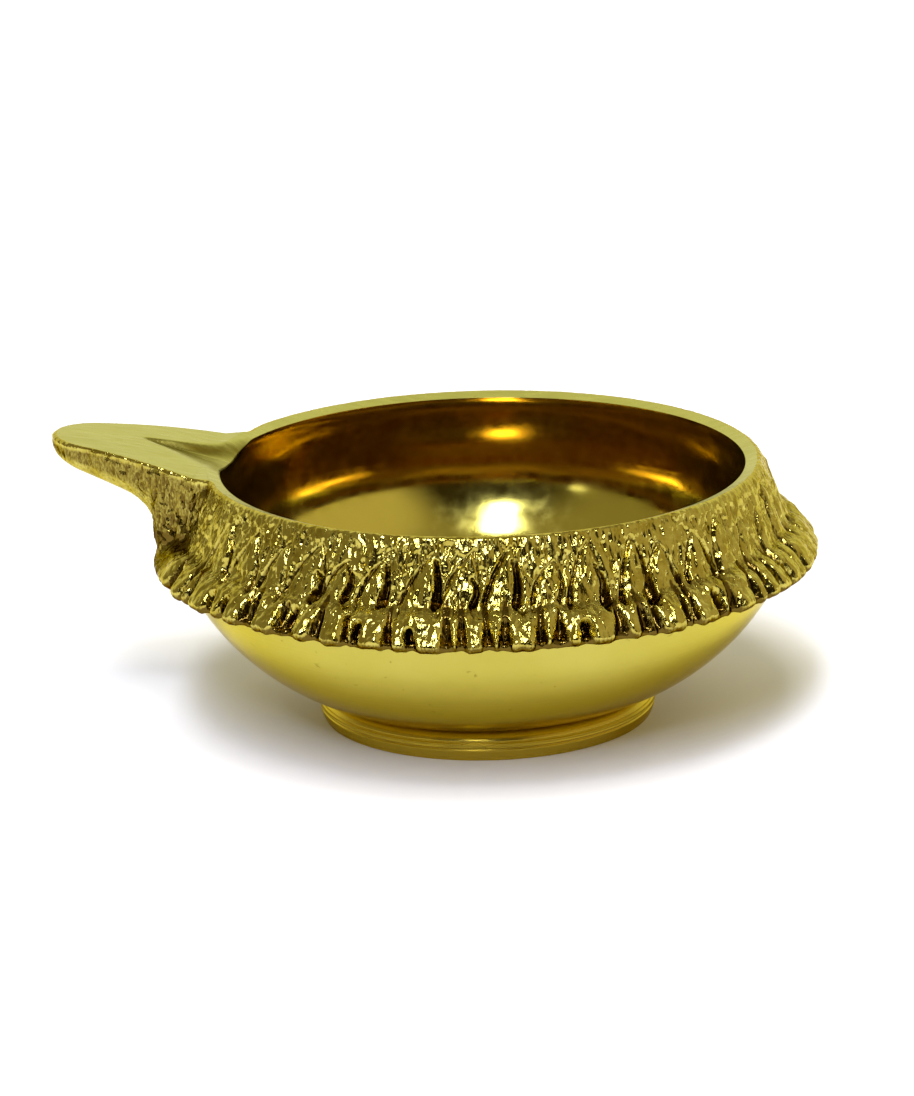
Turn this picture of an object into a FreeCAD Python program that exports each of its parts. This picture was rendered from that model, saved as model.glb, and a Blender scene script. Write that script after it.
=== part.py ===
import FreeCAD, Part
import math
import os
import Sketcher

# A small brass diya, an oil lamp that stands on its foot. Three brass pieces are seated on one axis:
#   foot_ring     turned ring with fine decorative lines, pressed round the boss under the bowl
#   bowl          turned oil bowl, smooth outside, with a plain upper edge that the collar sits over
#   spout_collar  cast shoulder, rim and wick spout in one piece, bored out and rebated underneath
# Millimetres. +Z is up, the origin is the centre of the foot's underside and the spout points to -X.

# Every driving dimension: alias, value, what it measures.
DIMENSIONS = [
    ("foot_height", 2.6, "underside of the foot to the crease under the bowl"),
    ("foot_base_radius", 15.1, "radius of the flat that the lamp stands on"),
    ("foot_waist_radius", 15.5, "largest radius of the foot"),
    ("foot_waist_height", 1.5, "height of that largest radius"),
    ("foot_neck_radius", 14.8, "radius at the crease"),
    ("foot_side_bend", 4.0, "radius of the foot's rounded side below that"),
    ("foot_shoulder_bend", 1.4, "radius of its side above that"),
    ("foot_line_radius", 15.3, "distance from the axis to the bottom of a turned line"),
    ("foot_line_half_width", 0.12, "half of its width just outside the foot"),
    ("foot_line_start", 1.15, "height of the lowest turned line"),
    ("foot_line_pitch", 0.3, "from one turned line to the next"),
    ("foot_line_count", 3, "number of turned lines"),
    ("boss_radius", 12.5, "boss under the bowl, and bore of the foot ring"),
    ("boss_height", 1.4, "height of the boss's lower face"),
    ("bowl_side_bend", 22.2, "radius of the bowl's outside, seen in section"),
    ("floor_height", 4.2, "inside floor of the bowl"),
    ("floor_radius", 7.6, "radius of the flat part of the floor"),
    ("floor_bend", 26.2, "radius of the curve that leaves the floor"),
    ("wall_turn_radius", 20.75, "distance from the axis where the floor's curve meets the wall's"),
    ("wall_turn_height", 7.7, "height of that meeting point"),
    ("wall_bend", 10.5, "radius of the wall's curve"),
    ("seam_height", 17.0, "upper edge of the bowl, inside the collar"),
    ("seam_inner_radius", 26.0, "inside of the bowl at that edge"),
    ("seam_outer_radius", 27.8, "outside of the bowl at that edge, and the collar's rebate"),
    ("collar_base", 14.9, "underside of the collar"),
    ("collar_edge_radius", 30.0, "outer edge of the collar's underside"),
    ("bulge_radius", 30.35, "largest radius of the collar"),
    ("bulge_height", 15.9, "height of that largest radius"),
    ("bulge_edge_bend", 1.7, "radius of the curve under the bulge"),
    ("bulge_bend", 2.0, "radius of the curve over the bulge"),
    ("waist_radius", 28.0, "collar above the bulge"),
    ("waist_height", 18.0, "height there"),
    ("waist_bend", 1.4, "radius of the hollow between bulge and waist"),
    ("crest_radius", 28.9, "where the bulge turns into that hollow"),
    ("crest_height", 17.25, "height there"),
    ("rim_outer_radius", 25.3, "outer edge of the rim"),
    ("rim_height", 23.8, "top of the rim"),
    ("mouth_radius", 23.9, "opening of the rim"),
    ("lip_depth", 0.7, "height of the straight land inside the rim"),
    ("lip_bend", 9.35, "radius of the undercut below the lip"),
    ("spout_reach", 39.8, "axis to the tip of the spout"),
    ("tip_height", 26.0, "top of the spout at its tip"),
    ("tip_bend", 4.3, "radius of the tip, seen from above"),
    ("spout_root", 25.0, "distance from the axis where the spout leaves the rim"),
    ("spout_root_half_width", 8.2, "half of the spout's width there"),
    ("tip_thickness", 1.9, "height of the spout's edge at the tip"),
    ("chin_depth", 3.9, "height of the spout's edge where its underside turns down"),
    ("chin_reach", 31.9, "distance from the axis of that turn"),
    ("chin_bend", 3.6, "radius of the turn"),
    ("chin_foot_height", 17.2, "height where the underside meets the bulge"),
    ("keel_rounding", 1.2, "radius along the lower edges of the spout"),
    ("groove_reach", 31.9, "distance from the axis where the wick groove starts"),
    ("groove_start_half_width", 0.3, "half of the groove's width there"),
    ("groove_mouth_half_width", 5.8, "half of the groove's width at the bowl"),
    ("groove_start_depth", 0.25, "depth of the groove at its start"),
    ("groove_mouth_depth", 1.5, "depth of the groove at the bowl"),
    ("groove_start_offset", 1.4, "how far the groove's start lies to the +Y side"),
    ("groove_floor_share", 0.55, "width of the groove's floor over its width at the top"),
    ("cut_margin", 3.0, "how far cutting outlines run past the metal"),
]


# The spout's top face rises evenly from the rim to the tip; this is its height at a distance from the axis.
TOP_SLOPE = "(Sizes.tip_height - Sizes.rim_height) / (Sizes.spout_reach - Sizes.rim_outer_radius)"


def top_height(reach):
    return f"(Sizes.rim_height + ({reach} - Sizes.rim_outer_radius) * {TOP_SLOPE})"


def make_sheet(doc):
    """The spreadsheet of driving dimensions: name, value with alias, and meaning."""
    sheet = doc.addObject("Spreadsheet::Sheet", "Sizes")
    for row, (alias, value, meaning) in enumerate(DIMENSIONS, start=1):
        sheet.set(f"A{row}", alias)
        sheet.set(f"B{row}", str(value))
        sheet.setAlias(f"B{row}", alias)
        sheet.set(f"C{row}", meaning)
    doc.recompute()


def make_body(doc, name):
    body = doc.addObject("PartDesign::Body", name)
    body.Label = name
    return body


def make_sketch(body, name, role, offset=None):
    """A sketch on one of the body's own origin planes, moved along the plane's normal by an expression."""
    sketch = body.newObject("Sketcher::SketchObject", name)
    plane = next(feature for feature in body.Origin.OriginFeatures if feature.Role == role)
    sketch.AttachmentSupport = [(plane, "")]
    sketch.MapMode = "FlatFace"
    if offset:
        sketch.setExpression("AttachmentOffset.Base.z", offset)
    return sketch


def add_side(sketch, start, end, bend):
    """Add one side of an outline and return its index and the numbers of its start and end points.

    bend is None for a straight side, or (radius expression, 1 for a left turn or -1 for a right turn).
    """
    if bend is None:
        return sketch.addGeometry(Part.LineSegment(start, end)), 1, 2
    radius_expression, turn = bend
    radius = float(sketch.evalExpression(radius_expression))
    chord = end - start
    across = FreeCAD.Vector(-chord.y, chord.x, 0).normalize()
    rise = math.sqrt(radius ** 2 - (chord.Length / 2) ** 2)
    centre = start + chord * 0.5 + across * rise * turn
    first, last = (start, end) if turn > 0 else (end, start)
    angles = [math.atan2(point.y - centre.y, point.x - centre.x) for point in (first, last)]
    circle = Part.Circle(centre, FreeCAD.Vector(0, 0, 1), radius)
    index = sketch.addGeometry(Part.ArcOfCircle(circle, *angles))
    constraint = sketch.addConstraint(Sketcher.Constraint("Radius", index, radius))
    sketch.setExpression(f"Constraints[{constraint}]", radius_expression)
    return (index, 1, 2) if turn > 0 else (index, 2, 1)


def pin_point(sketch, index, point, expressions):
    """Bind a point's two coordinates to expressions. A coordinate of 0 puts the point on the axis."""
    for expression, kind, axis in zip(expressions, ("DistanceX", "DistanceY"), (-2, -1)):
        if expression == "0":
            sketch.addConstraint(Sketcher.Constraint("PointOnObject", index, point, axis))
            continue
        value = float(sketch.evalExpression(expression))
        constraint = sketch.addConstraint(Sketcher.Constraint(kind, index, point, value))
        sketch.setExpression(f"Constraints[{constraint}]", expression)


def draw_outline(sketch, corners, bends=None):
    """A closed outline: corners are pairs of expressions, bends gives arcs by the corner they start at."""
    bends = bends or {}
    places = [FreeCAD.Vector(*(float(sketch.evalExpression(text)) for text in pair), 0) for pair in corners]
    sides = []
    for number, start in enumerate(places):
        end = places[(number + 1) % len(places)]
        sides.append(add_side(sketch, start, end, bends.get(number)))
    for number, (index, first, _) in enumerate(sides):
        before, _, last = sides[number - 1]
        sketch.addConstraint(Sketcher.Constraint("Coincident", before, last, index, first))
        pin_point(sketch, index, first, corners[number])


def turn(body, kind, name, sketch):
    """Revolve the sketch's outline round the upright axis, as metal or as a cut."""
    feature = body.newObject(kind, name)
    feature.Profile = sketch
    feature.ReferenceAxis = (sketch, ["V_Axis"])
    feature.Angle = 360
    body.Document.recompute()
    return feature


def turn_metal(body, name, sketch):
    return turn(body, "PartDesign::Revolution", name, sketch)


def require_cut(cut, volume_before):
    """A cut that misses the metal raises no error by itself."""
    if cut.Shape.Volume >= volume_before:
        raise RuntimeError(f"{cut.Name} cuts nothing")
    return cut


def turn_away(body, name, sketch):
    volume_before = body.Shape.Volume
    return require_cut(turn(body, "PartDesign::Groove", name, sketch), volume_before)


def cut_both_ways(body, name, sketch):
    """Cut the sketch's outline through the body, the same distance to both sides of its plane."""
    volume_before = body.Shape.Volume
    cut = body.newObject("PartDesign::Pocket", name)
    cut.Profile = sketch
    cut.Type = "ThroughAll"
    cut.Midplane = True
    body.Document.recompute()
    return require_cut(cut, volume_before)


def make_foot_ring(doc):
    body = make_body(doc, "foot_ring")
    section = make_sketch(body, "foot_section", "XZ_Plane")
    draw_outline(section, [
        ("Sizes.boss_radius", "0"),
        ("Sizes.foot_base_radius", "0"),
        ("Sizes.foot_waist_radius", "Sizes.foot_waist_height"),
        ("Sizes.foot_neck_radius", "Sizes.foot_height"),
        ("Sizes.boss_radius", "Sizes.foot_height"),
    ], {1: ("Sizes.foot_side_bend", 1), 2: ("Sizes.foot_shoulder_bend", 1)})
    turn_metal(body, "foot_turning", section)

    # One V-shaped turned line, then its repeats up the side.
    line = make_sketch(body, "foot_line_section", "XZ_Plane")
    outside = "Sizes.foot_waist_radius + Sizes.foot_line_half_width"
    draw_outline(line, [
        ("Sizes.foot_line_radius", "Sizes.foot_line_start"),
        (outside, "Sizes.foot_line_start - Sizes.foot_line_half_width"),
        (outside, "Sizes.foot_line_start + Sizes.foot_line_half_width"),
    ])
    first_line = turn_away(body, "foot_line", line)
    pattern = body.newObject("PartDesign::LinearPattern", "foot_lines")
    pattern.Originals = [first_line]
    pattern.Direction = (line, ["V_Axis"])
    pattern.setExpression("Length", "Sizes.foot_line_pitch * (Sizes.foot_line_count - 1)")
    pattern.setExpression("Occurrences", "Sizes.foot_line_count")
    body.Tip = pattern
    doc.recompute()
    return body


def make_bowl(doc):
    body = make_body(doc, "bowl")
    section = make_sketch(body, "bowl_section", "XZ_Plane")
    draw_outline(section, [
        ("0", "Sizes.boss_height"),
        ("Sizes.boss_radius", "Sizes.boss_height"),
        ("Sizes.boss_radius", "Sizes.foot_height"),
        ("Sizes.foot_neck_radius", "Sizes.foot_height"),
        ("Sizes.seam_outer_radius", "Sizes.collar_base"),
        ("Sizes.seam_outer_radius", "Sizes.seam_height"),
        ("Sizes.seam_inner_radius", "Sizes.seam_height"),
        ("Sizes.wall_turn_radius", "Sizes.wall_turn_height"),
        ("Sizes.floor_radius", "Sizes.floor_height"),
        ("0", "Sizes.floor_height"),
    ], {3: ("Sizes.bowl_side_bend", 1), 6: ("Sizes.wall_bend", -1), 7: ("Sizes.floor_bend", -1)})
    turn_metal(body, "bowl_turning", section)
    return body


def cast_collar_ring(body):
    """The collar's outside, still solid to the axis."""
    section = make_sketch(body, "collar_section", "XZ_Plane")
    draw_outline(section, [
        ("0", "Sizes.collar_base"),
        ("Sizes.collar_edge_radius", "Sizes.collar_base"),
        ("Sizes.bulge_radius", "Sizes.bulge_height"),
        ("Sizes.crest_radius", "Sizes.crest_height"),
        ("Sizes.waist_radius", "Sizes.waist_height"),
        ("Sizes.rim_outer_radius", "Sizes.rim_height"),
        ("0", "Sizes.rim_height"),
    ], {1: ("Sizes.bulge_edge_bend", 1), 2: ("Sizes.bulge_bend", 1), 3: ("Sizes.waist_bend", -1)})
    turn_metal(body, "collar_casting", section)


def cast_spout_blank(body):
    """The spout's shape seen from above, as a block from the bulge up past the tip."""
    plan = make_sketch(body, "spout_plan", "XY_Plane", "Sizes.bulge_height")
    centre = "(Sizes.spout_reach - Sizes.tip_bend)"
    run = f"({centre} - Sizes.spout_root)"
    # The flanks run straight from the root and touch the tip's circle: lean is their angle to the axis.
    lean = (f"asin(Sizes.spout_root_half_width / sqrt(pow({run}; 2) + pow(Sizes.spout_root_half_width; 2)))"
            f" - asin(Sizes.tip_bend / sqrt(pow({run}; 2) + pow(Sizes.spout_root_half_width; 2)))")
    touch_x = f"-({centre} + Sizes.tip_bend * sin({lean}))"
    touch_y = f"Sizes.tip_bend * cos({lean})"
    draw_outline(plan, [
        ("-Sizes.spout_root", "Sizes.spout_root_half_width"),
        (touch_x, touch_y),
        (touch_x, f"-{touch_y}"),
        ("-Sizes.spout_root", "-Sizes.spout_root_half_width"),
    ], {1: ("Sizes.tip_bend", 1)})
    blank = body.newObject("PartDesign::Pad", "spout_blank")
    blank.Profile = plan
    blank.setExpression("Length", "Sizes.tip_height - Sizes.bulge_height + Sizes.cut_margin")
    body.Document.recompute()


def shape_spout(body):
    """Trim the blank to the sloping top face and to the underside that sweeps down into the bulge."""
    top = make_sketch(body, "spout_top_cut", "XZ_Plane")
    beyond = "(Sizes.spout_reach + Sizes.cut_margin)"
    draw_outline(top, [
        ("0", "Sizes.rim_height"),
        ("-Sizes.rim_outer_radius", "Sizes.rim_height"),
        (f"-{beyond}", top_height(beyond)),
        (f"-{beyond}", "Sizes.tip_height + 2 * Sizes.cut_margin"),
        ("0", "Sizes.tip_height + 2 * Sizes.cut_margin"),
    ])
    cut_both_ways(body, "spout_top", top)

    under = make_sketch(body, "spout_under_cut", "XZ_Plane")
    draw_outline(under, [
        ("-Sizes.bulge_radius", "Sizes.collar_base - Sizes.cut_margin"),
        ("-Sizes.bulge_radius", "Sizes.chin_foot_height"),
        ("-Sizes.chin_reach", f"{top_height('Sizes.chin_reach')} - Sizes.chin_depth"),
        ("-Sizes.spout_reach", "Sizes.tip_height - Sizes.tip_thickness"),
        (f"-{beyond}", "Sizes.tip_height - Sizes.tip_thickness"),
        (f"-{beyond}", "Sizes.collar_base - Sizes.cut_margin"),
    ], {1: ("Sizes.chin_bend", 1)})
    return cut_both_ways(body, "spout_underside", under)


def round_keel(body, underside):
    """Round the lower edges of the spout, from the bulge outwards and round the tip."""
    sheet = body.Document.Sizes
    slack = 0.01
    nearest = slack - sheet.bulge_radius
    lowest = sheet.chin_foot_height - slack
    highest = sheet.tip_height - sheet.tip_thickness + slack
    names = []
    for number, edge in enumerate(underside.Shape.Edges, start=1):
        ends = [vertex.Point for vertex in edge.Vertexes]
        under_spout = all(point.x < nearest and lowest < point.z < highest for point in ends)
        crosses = abs(ends[0].y - ends[-1].y) > 2 * sheet.tip_bend
        if under_spout and not crosses:
            names.append(f"Edge{number}")
    rounding = body.newObject("PartDesign::Fillet", "spout_keel")
    rounding.Base = (underside, names)
    rounding.setExpression("Radius", "Sizes.keel_rounding")
    body.Document.recompute()


def bore_collar(body):
    """Turn out the inside: the rebate that sits over the bowl, the undercut and the straight lip."""
    section = make_sketch(body, "bore_section", "XZ_Plane")
    draw_outline(section, [
        ("0", "Sizes.collar_base - Sizes.cut_margin"),
        ("Sizes.seam_outer_radius", "Sizes.collar_base - Sizes.cut_margin"),
        ("Sizes.seam_outer_radius", "Sizes.seam_height"),
        ("Sizes.seam_inner_radius", "Sizes.seam_height"),
        ("Sizes.mouth_radius", "Sizes.rim_height - Sizes.lip_depth"),
        ("Sizes.mouth_radius", "Sizes.rim_height + Sizes.cut_margin"),
        ("0", "Sizes.rim_height + Sizes.cut_margin"),
    ], {3: ("Sizes.lip_bend", 1)})
    turn_away(body, "collar_bore", section)


def groove_section(body, name, reach, half_width, depth, offset):
    """One section across the wick groove, a trapezium whose floor is narrower than its top."""
    sketch = make_sketch(body, name, "YZ_Plane", f"-{reach}")
    top = top_height(reach)
    draw_outline(sketch, [
        (f"{offset} - {half_width} * Sizes.groove_floor_share", f"{top} - {depth}"),
        (f"{offset} + {half_width} * Sizes.groove_floor_share", f"{top} - {depth}"),
        (f"{offset} + {half_width}", top),
        (f"{offset} + {half_width}", f"{top} + Sizes.cut_margin"),
        (f"{offset} - {half_width}", f"{top} + Sizes.cut_margin"),
        (f"{offset} - {half_width}", top),
    ])
    return sketch


def cut_wick_groove(body):
    """The wick lies in a shallow groove that widens and deepens from the spout into the bowl."""
    mouth = groove_section(body, "groove_mouth_section", "(Sizes.mouth_radius - 1)",
                           "Sizes.groove_mouth_half_width", "Sizes.groove_mouth_depth", "0")
    start = groove_section(body, "groove_start_section", "Sizes.groove_reach",
                           "Sizes.groove_start_half_width", "Sizes.groove_start_depth",
                           "Sizes.groove_start_offset")
    volume_before = body.Shape.Volume
    groove = body.newObject("PartDesign::SubtractiveLoft", "wick_groove")
    groove.Profile = mouth
    groove.Sections = [start]
    groove.Ruled = True
    body.Document.recompute()
    require_cut(groove, volume_before)


def make_spout_collar(doc):
    body = make_body(doc, "spout_collar")
    cast_collar_ring(body)
    cast_spout_blank(body)
    underside = shape_spout(body)
    round_keel(body, underside)
    bore_collar(body)
    cut_wick_groove(body)
    return body


def check(doc, bodies):
    """Stop if any feature failed, or if a piece isn't one valid closed solid."""
    failed = [item.Name for item in doc.Objects if set(item.State) & {"Invalid", "Error"}]
    if failed:
        raise RuntimeError(f"failed features: {failed}")
    for body in bodies:
        shape = body.Shape
        if shape.isNull() or not shape.isValid() or len(shape.Solids) != 1:
            raise RuntimeError(f"{body.Label} is not one valid solid")


def main():
    doc = FreeCAD.newDocument("diya_lamp")
    make_sheet(doc)
    bodies = [make_foot_ring(doc), make_bowl(doc), make_spout_collar(doc)]
    doc.recompute()
    check(doc, bodies)
    os.makedirs("parts", exist_ok=True)
    for body in bodies:
        body.Placement = FreeCAD.Placement()
        body.Shape.exportStep(f"parts/{body.Label}.step")
        box = body.Shape.optimalBoundingBox(False)
        print(f"{body.Label}: {body.Shape.Volume:.0f} mm3, X {box.XMin:.2f} to {box.XMax:.2f}, "
              f"Y {box.YMin:.2f} to {box.YMax:.2f}, Z {box.ZMin:.2f} to {box.ZMax:.2f}")


main()
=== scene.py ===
import math

import bpy
import numpy as np
from mathutils import Matrix, Vector


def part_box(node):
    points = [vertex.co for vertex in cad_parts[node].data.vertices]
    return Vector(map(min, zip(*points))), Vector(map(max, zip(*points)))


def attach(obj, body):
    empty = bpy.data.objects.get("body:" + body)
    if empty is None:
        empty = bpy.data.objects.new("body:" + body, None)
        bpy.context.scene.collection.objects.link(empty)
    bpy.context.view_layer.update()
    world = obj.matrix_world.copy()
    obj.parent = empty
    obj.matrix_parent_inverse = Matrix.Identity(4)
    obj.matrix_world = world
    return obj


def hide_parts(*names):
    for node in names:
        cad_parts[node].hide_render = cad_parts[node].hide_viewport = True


# A small brass diya, an oil lamp, on a white table: turned foot ring, turned bowl, and a cast and
# chiselled collar that is drawn out into the wick spout. Metres in Blender; the outlines below are
# worked out in millimetres and scaled once, when a mesh is made. +Z is up and the spout points to -X.
MM = 0.001
SEED = 20

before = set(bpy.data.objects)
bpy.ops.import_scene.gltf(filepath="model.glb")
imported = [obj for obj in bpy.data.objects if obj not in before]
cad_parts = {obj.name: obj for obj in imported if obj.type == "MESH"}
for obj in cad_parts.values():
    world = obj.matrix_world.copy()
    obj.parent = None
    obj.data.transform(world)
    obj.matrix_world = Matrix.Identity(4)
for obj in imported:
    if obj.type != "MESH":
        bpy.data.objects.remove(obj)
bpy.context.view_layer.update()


def box_mm(node):
    """Lowest and highest corner of a CAD node, in millimetres."""
    return [np.array(corner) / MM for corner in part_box(node)]


foot_low, foot_high = box_mm("foot_ring")
bowl_low, bowl_high = box_mm("bowl")
collar_low, collar_high = box_mm("spout_collar")

# Sizes that the CAD boxes give.
FOOT_HEIGHT = foot_high[2]
FOOT_WAIST_RADIUS = foot_high[0]
BOSS_HEIGHT = bowl_low[2]
SEAM_HEIGHT = bowl_high[2]
SEAM_OUTER_RADIUS = bowl_high[0]
COLLAR_BASE = collar_low[2]
BULGE_RADIUS = collar_high[0]
SPOUT_REACH = -collar_low[0]
TIP_HEIGHT = collar_high[2]

# Sizes inside those boxes, in millimetres, the same as in the CAD.
FOOT_BASE_RADIUS = 15.1
FOOT_WAIST_HEIGHT = 1.5
FOOT_NECK_RADIUS = 14.8
FOOT_SIDE_BEND = 4.0
FOOT_SHOULDER_BEND = 1.4
FOOT_LINE_START = 1.15
FOOT_LINE_PITCH = 0.3
BOSS_RADIUS = 12.5
BOWL_SIDE_BEND = 22.2
FLOOR_HEIGHT = 4.2
FLOOR_RADIUS = 7.6
FLOOR_BEND = 26.2
WALL_TURN_RADIUS = 20.75
WALL_TURN_HEIGHT = 7.7
WALL_BEND = 10.5
SEAM_INNER_RADIUS = 26.0
CREST_RADIUS = 28.9
CREST_HEIGHT = 17.25
WAIST_HEIGHT = 18.0
RIM_OUTER_RADIUS = 25.3
RIM_HEIGHT = 23.8
MOUTH_RADIUS = 23.9
LIP_DEPTH = 0.7
LIP_BEND = 9.35
TIP_BEND = 4.3
SPOUT_ROOT = 25.0
SPOUT_ROOT_HALF_WIDTH = 8.2
TIP_THICKNESS = 1.9
CHIN_DEPTH = 3.9
CHIN_REACH = 31.9
CHIN_BEND = 3.6
CHIN_FOOT_HEIGHT = 17.2

# Sizes up to 0.4 mm off the plain CAD collar, which suit the chiselled one.
COLLAR_EDGE_RADIUS = 30.2
BULGE_HEIGHT = 15.65
WAIST_RADIUS = 27.6


# ---- Outlines

TOLERANCE = 1e-6


def arc(start, end, radius, turn, steps=24):
    """Points of an arc from start to end; turn is 1 for a left turn and -1 for a right turn."""
    start, end = np.array(start, float), np.array(end, float)
    chord = end - start
    length = np.linalg.norm(chord)
    across = np.array([-chord[1], chord[0]]) / length
    centre = (start + end) / 2 + across * turn * math.sqrt(radius ** 2 - (length / 2) ** 2)
    first = math.atan2(*(start - centre)[::-1])
    sweep = math.atan2(*(end - centre)[::-1]) - first
    sweep = (sweep + math.pi) % (2 * math.pi) - math.pi
    angles = first + sweep * np.linspace(0, 1, steps)
    return [tuple(centre + radius * np.array([math.cos(a), math.sin(a)])) for a in angles]


def joined(*runs):
    """One outline from several runs of points, without the doubled points where they meet."""
    points = [runs[0][0]]
    for run in runs:
        for point in run:
            if math.dist(point, points[-1]) > TOLERANCE:
                points.append(point)
    return np.array(points, float)


def evenly(points, count):
    """An outline divided into equal steps along its length."""
    steps = np.linalg.norm(np.diff(points, axis=0), axis=1)
    along = np.concatenate([[0], np.cumsum(steps)])
    wanted = np.linspace(0, along[-1], count)
    return np.stack([np.interp(wanted, along, points[:, i]) for i in range(points.shape[1])], axis=1)


def eased(points, reach):
    """An outline with its corners eased over a number of steps; both end points stay."""
    offsets = np.arange(-2 * reach, 2 * reach + 1)
    weights = np.exp(-0.5 * (offsets / reach) ** 2)
    weights /= weights.sum()
    padded = np.pad(points, ((2 * reach, 2 * reach), (0, 0)), mode="reflect", reflect_type="odd")
    return np.stack([np.convolve(padded[:, i], weights, mode="valid") for i in range(2)], axis=1)


def smooth_step(value):
    """0 up to 0, 1 from 1 on, and a level start and end between them."""
    value = np.clip(value, 0, 1)
    return value * value * (3 - 2 * value)


def blend_max(a, b, reach):
    """The larger of two surfaces, with a fillet where they meet."""
    overlap = np.clip(reach - np.abs(a - b), 0, None) / reach
    return np.maximum(a, b) + overlap ** 2 * reach / 4


# ---- Seeded irregularity

class Patches:
    """Smooth random height over (around, up), periodic around. Both run in cells."""

    def __init__(self, generator, around, up):
        self.around = around
        self.grid = generator.uniform(-1, 1, (around, up + 3))

    def __call__(self, around, up):
        columns, rows = np.floor(around).astype(int), np.floor(up).astype(int)
        fx, fy = around - columns, up - rows
        fx, fy = smooth_step(fx), smooth_step(fy)
        left, right = columns % self.around, (columns + 1) % self.around
        low = np.clip(rows, 0, self.grid.shape[1] - 1)
        high = np.clip(rows + 1, 0, self.grid.shape[1] - 1)
        bottom = self.grid[left, low] * (1 - fx) + self.grid[right, low] * fx
        top = self.grid[left, high] * (1 - fx) + self.grid[right, high] * fx
        return bottom * (1 - fy) + top * fy


# ---- Meshes

def make_piece(name, points, faces, materials, face_materials, attributes):
    """A smooth-shaded object from points in millimetres, riding on the root body."""
    mesh = bpy.data.meshes.new(name)
    mesh.from_pydata([tuple(p) for p in points * MM], [], faces)
    for values_name, values in attributes.items():
        attribute = mesh.attributes.new(values_name, "FLOAT", "POINT")
        attribute.data.foreach_set("value", np.ascontiguousarray(values, np.float32))
    for material in materials:
        mesh.materials.append(material)
    mesh.polygons.foreach_set("material_index", np.array(face_materials, np.int32))
    mesh.polygons.foreach_set("use_smooth", np.ones(len(faces), bool))
    mesh.validate()
    mesh.update()
    piece = bpy.data.objects.new(name, mesh)
    bpy.context.scene.collection.objects.link(piece)
    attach(piece, "root")
    return piece


def ring_faces(columns, rows, closed):
    """Quads of a sheet that runs right round; closed joins its last row to its first."""
    column, row = np.meshgrid(np.arange(columns), np.arange(rows if closed else rows - 1), indexing="ij")
    column, row = column.ravel(), row.ravel()
    beside, above = (column + 1) % columns, (row + 1) % rows
    return np.stack([column * rows + row, beside * rows + row,
                     beside * rows + above, column * rows + above], axis=1), row


def lathe(name, outline, columns, materials, zone, wobble):
    """Turn an outline of (radius, height). A radius of 0 at both ends closes it on the axis.

    zone gives a row's material number, and wobble the radial error for angles and heights.
    """
    on_axis = outline[0, 0] == 0
    ring = outline[1:-1] if on_axis else outline
    rows = len(ring)
    angles = np.linspace(0, 2 * math.pi, columns, endpoint=False)
    angle, row = np.meshgrid(angles, np.arange(rows), indexing="ij")
    radius, height = ring[row, 0], ring[row, 1]
    radius = radius + wobble(angle, height) * smooth_step(radius / FLOOR_RADIUS)
    points = np.stack([radius * np.cos(angle), radius * np.sin(angle), height], axis=-1).reshape(-1, 3)
    quads, quad_rows = ring_faces(columns, rows, closed=not on_axis)
    faces = quads.tolist()
    face_materials = [zone[i] for i in quad_rows]
    along = np.concatenate([[0], np.cumsum(np.linalg.norm(np.diff(ring, axis=0), axis=1))])
    lengths = np.tile(along, columns)
    if on_axis:
        poles = [(0, 0, outline[0, 1]), (0, 0, outline[-1, 1])]
        points = np.vstack([points, poles])
        lengths = np.append(lengths, [0, along[-1]])
        first_pole, last_pole = len(points) - 2, len(points) - 1
        for column in range(columns):
            beside = (column + 1) % columns
            faces.append([first_pole, beside * rows, column * rows])
            faces.append([column * rows + rows - 1, beside * rows + rows - 1, last_pole])
            face_materials += [zone[0], zone[-1]]
    piece = make_piece(name, points, faces, materials, face_materials, {"along": lengths * MM})
    piece.data.set_sharp_from_angle(angle=math.radians(50))
    return piece


# ---- Materials

# Sockets of a Mix node that are in use when it mixes colours.
MIX_FACTOR, MIX_FIRST, MIX_SECOND, MIX_RESULT = 0, 6, 7, 2

# Colours, in linear red, green and blue.
# The satin low colour is painted shade: darker and browner low on the bowl.
SATIN_AND_PAINTED_SHADE = {"light": (0.55, 0.485, 0.095), "dark": (0.50, 0.43, 0.07), "low": (0.43, 0.32, 0.024)}
FOOT = {"light": (0.57, 0.42, 0.045), "dark": (0.47, 0.33, 0.033), "low": (0.52, 0.375, 0.037)}
# The polished wall colour is painted shade on the overhanging wall and the collar's undercut.
POLISHED_AND_PAINTED_SHADE = {"floor": (0.68, 0.60, 0.11), "wall": (0.33, 0.17, 0.02)}
# The darkest chiselled colour is patina in the cuts, and painted shade along the collar's lower edge and
# under the spout.
CHISELLED = {"light": (0.59, 0.51, 0.115), "dark": (0.40, 0.31, 0.04), "dark_and_shade": (0.13, 0.085, 0.014)}
# The groove colour darkens a duller wick groove, and is painted shade on its far wall.
FILED = {"light": (0.55, 0.52, 0.12), "dark": (0.48, 0.45, 0.09), "groove": (0.24, 0.19, 0.02)}
SPECK = (0.20, 0.13, 0.02)

# The same metals where they are seen at a shallow angle.
BRASS_EDGE = (0.95, 0.85, 0.45)
PATINA_EDGE = (0.35, 0.26, 0.10)
POLISHED_EDGE = (1.0, 0.97, 0.75)
FILED_EDGE = (0.97, 0.95, 0.75)

# Heights above the table as a share of 20 mm, so that ramps from 0 to 1 can use them.
HEIGHT_SCALE = 50.0


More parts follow.
